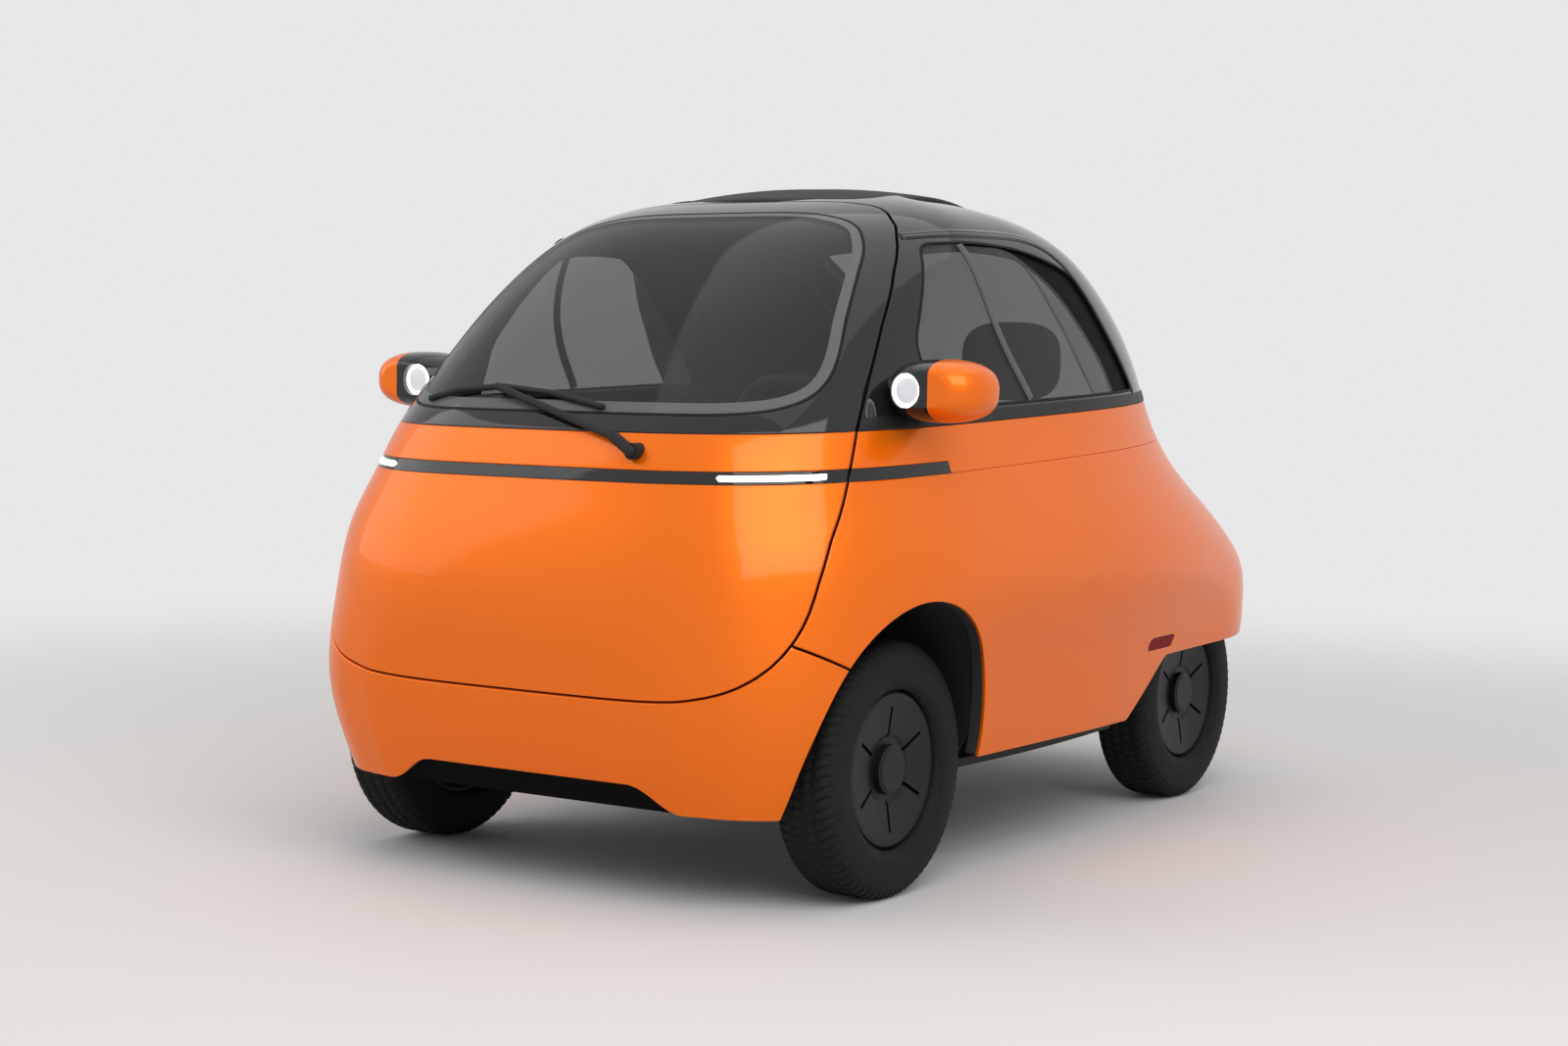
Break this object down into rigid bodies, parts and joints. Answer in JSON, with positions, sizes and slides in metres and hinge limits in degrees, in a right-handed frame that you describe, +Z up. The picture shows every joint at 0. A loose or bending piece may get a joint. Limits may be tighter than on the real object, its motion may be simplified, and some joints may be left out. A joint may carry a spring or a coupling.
{
  "type": "electric microcar with a front-opening door",
  "caption": "Bubble-shaped two-seat electric microcar with a side-hinged front door, tailgate, steered front wheels and canvas roof.",
  "frame": {"origin": "on the ground below the middle of the car", "axes": "+Z up, the car faces -Y, +X is the car's left side"},
  "size_m": [1.6126, 2.5175, 1.5009],
  "materials": {
    "body_paint": "gloss metallic orange",
    "gloss_black": "gloss",
    "clear_glass": "tinted",
    "lamp_lens": "lit",
    "black_plastic": "matt",
    "roof_fabric": "matt",
    "tyre_rubber": "matt",
    "wheel_black": "satin",
    "bare_steel": "satin",
    "chassis_steel": "satin",
    "wheel_leather": "satin",
    "seat_fabric": "matt",
    "mirror_glass": "polished",
    "marker_red": "clear over red"
  },
  "bodies": {
    "root": {"belt_trims": "gloss_black", "drive_motor": "chassis_steel", "floor_tub": "black_plastic", "front_bumper": "body_paint", "front_suspension": "chassis_steel", "front_wheelhouses": "black_plastic", "headlamp_lenses": "lamp_lens", "headrest_posts": "bare_steel", "headrests": "seat_fabric", "instrument_housing": "black_plastic", "left_side_glass": "clear_glass", "left_side_panel": "body_paint", "lower_grille": "black_plastic", "mirror_caps": "body_paint", "mirror_glasses": "mirror_glass", "mirror_pods": "gloss_black", "rear_axle": "chassis_steel", "rear_panel": "body_paint", "rear_wheelhouses": "black_plastic", "right_side_glass": "clear_glass", "right_side_panel": "body_paint", "roof_canvas": "roof_fabric", "roof_frame": "gloss_black", "seat_back": "seat_fabric", "seat_cushion": "seat_fabric", "seat_frame": "black_plastic", "side_light_bars": "gloss_black", "side_markers": "marker_red", "steering_column": "black_plastic", "traction_battery": "chassis_steel"},
    "front_door": {"door_panel": "body_paint", "door_frame": "gloss_black", "windscreen": "clear_glass", "front_light_bar": "gloss_black", "front_light_strips": "lamp_lens", "wiper": "black_plastic"},
    "tailgate_body": {"tailgate": "gloss_black", "rear_glass": "clear_glass", "rear_light_bar": "gloss_black"},
    "hand_wheel": {"steering_wheel": "wheel_leather"},
    "left_knuckle_body": {"left_knuckle": "bare_steel"},
    "right_knuckle_body": {"right_knuckle": "bare_steel"},
    "front_left_road_wheel": {"front_left_tyre": "tyre_rubber", "front_left_wheel": "wheel_black"},
    "front_right_road_wheel": {"front_right_tyre": "tyre_rubber", "front_right_wheel": "wheel_black"},
    "rear_left_road_wheel": {"rear_left_tyre": "tyre_rubber", "rear_left_wheel": "wheel_black"},
    "rear_right_road_wheel": {"rear_right_tyre": "tyre_rubber", "rear_right_wheel": "wheel_black"}
  },
  "joints": [
    {"name": "front_door_hinge", "type": "hinge", "parent": "root", "child": "front_door", "pos_m": [0.6, -1.14, 0.524], "axis": [0, 0, 1], "range_deg": [0, 80]},
    {"name": "tailgate_hinge", "type": "hinge", "parent": "root", "child": "tailgate_body", "pos_m": [0, 0.202, 1.442], "axis": [1, 0, 0], "range_deg": [0, 60]},
    {"name": "steering", "type": "hinge", "parent": "root", "child": "hand_wheel", "pos_m": [0.285, -0.61, 0.905], "axis": [0, 0.8829, 0.4695], "range_deg": [-525, 525]},
    {"name": "left_kingpin", "type": "hinge", "parent": "root", "child": "left_knuckle_body", "pos_m": [0.552, -0.8, 0.2665], "axis": [0, 0, 1], "range_deg": [-35, 35]},
    {"name": "right_kingpin", "type": "hinge", "parent": "root", "child": "right_knuckle_body", "pos_m": [-0.552, -0.8, 0.2665], "axis": [0, 0, 1], "range_deg": [-35, 35]},
    {"name": "front_left_spin", "type": "hinge", "parent": "left_knuckle_body", "child": "front_left_road_wheel", "pos_m": [0.577, -0.8, 0.2665], "axis": [1, 0, 0], "continuous": true},
    {"name": "front_right_spin", "type": "hinge", "parent": "right_knuckle_body", "child": "front_right_road_wheel", "pos_m": [-0.577, -0.8, 0.2665], "axis": [1, 0, 0], "continuous": true},
    {"name": "rear_left_spin", "type": "hinge", "parent": "root", "child": "rear_left_road_wheel", "pos_m": [0.484, 0.766, 0.2665], "axis": [1, 0, 0], "continuous": true},
    {"name": "rear_right_spin", "type": "hinge", "parent": "root", "child": "rear_right_road_wheel", "pos_m": [-0.484, 0.766, 0.2665], "axis": [1, 0, 0], "continuous": true}
  ],
  "couplings": [
    {"joint": "left_kingpin", "follows": "steering", "ratio": 0.066666},
    {"joint": "right_kingpin", "follows": "steering", "ratio": 0.066666}
  ]
}
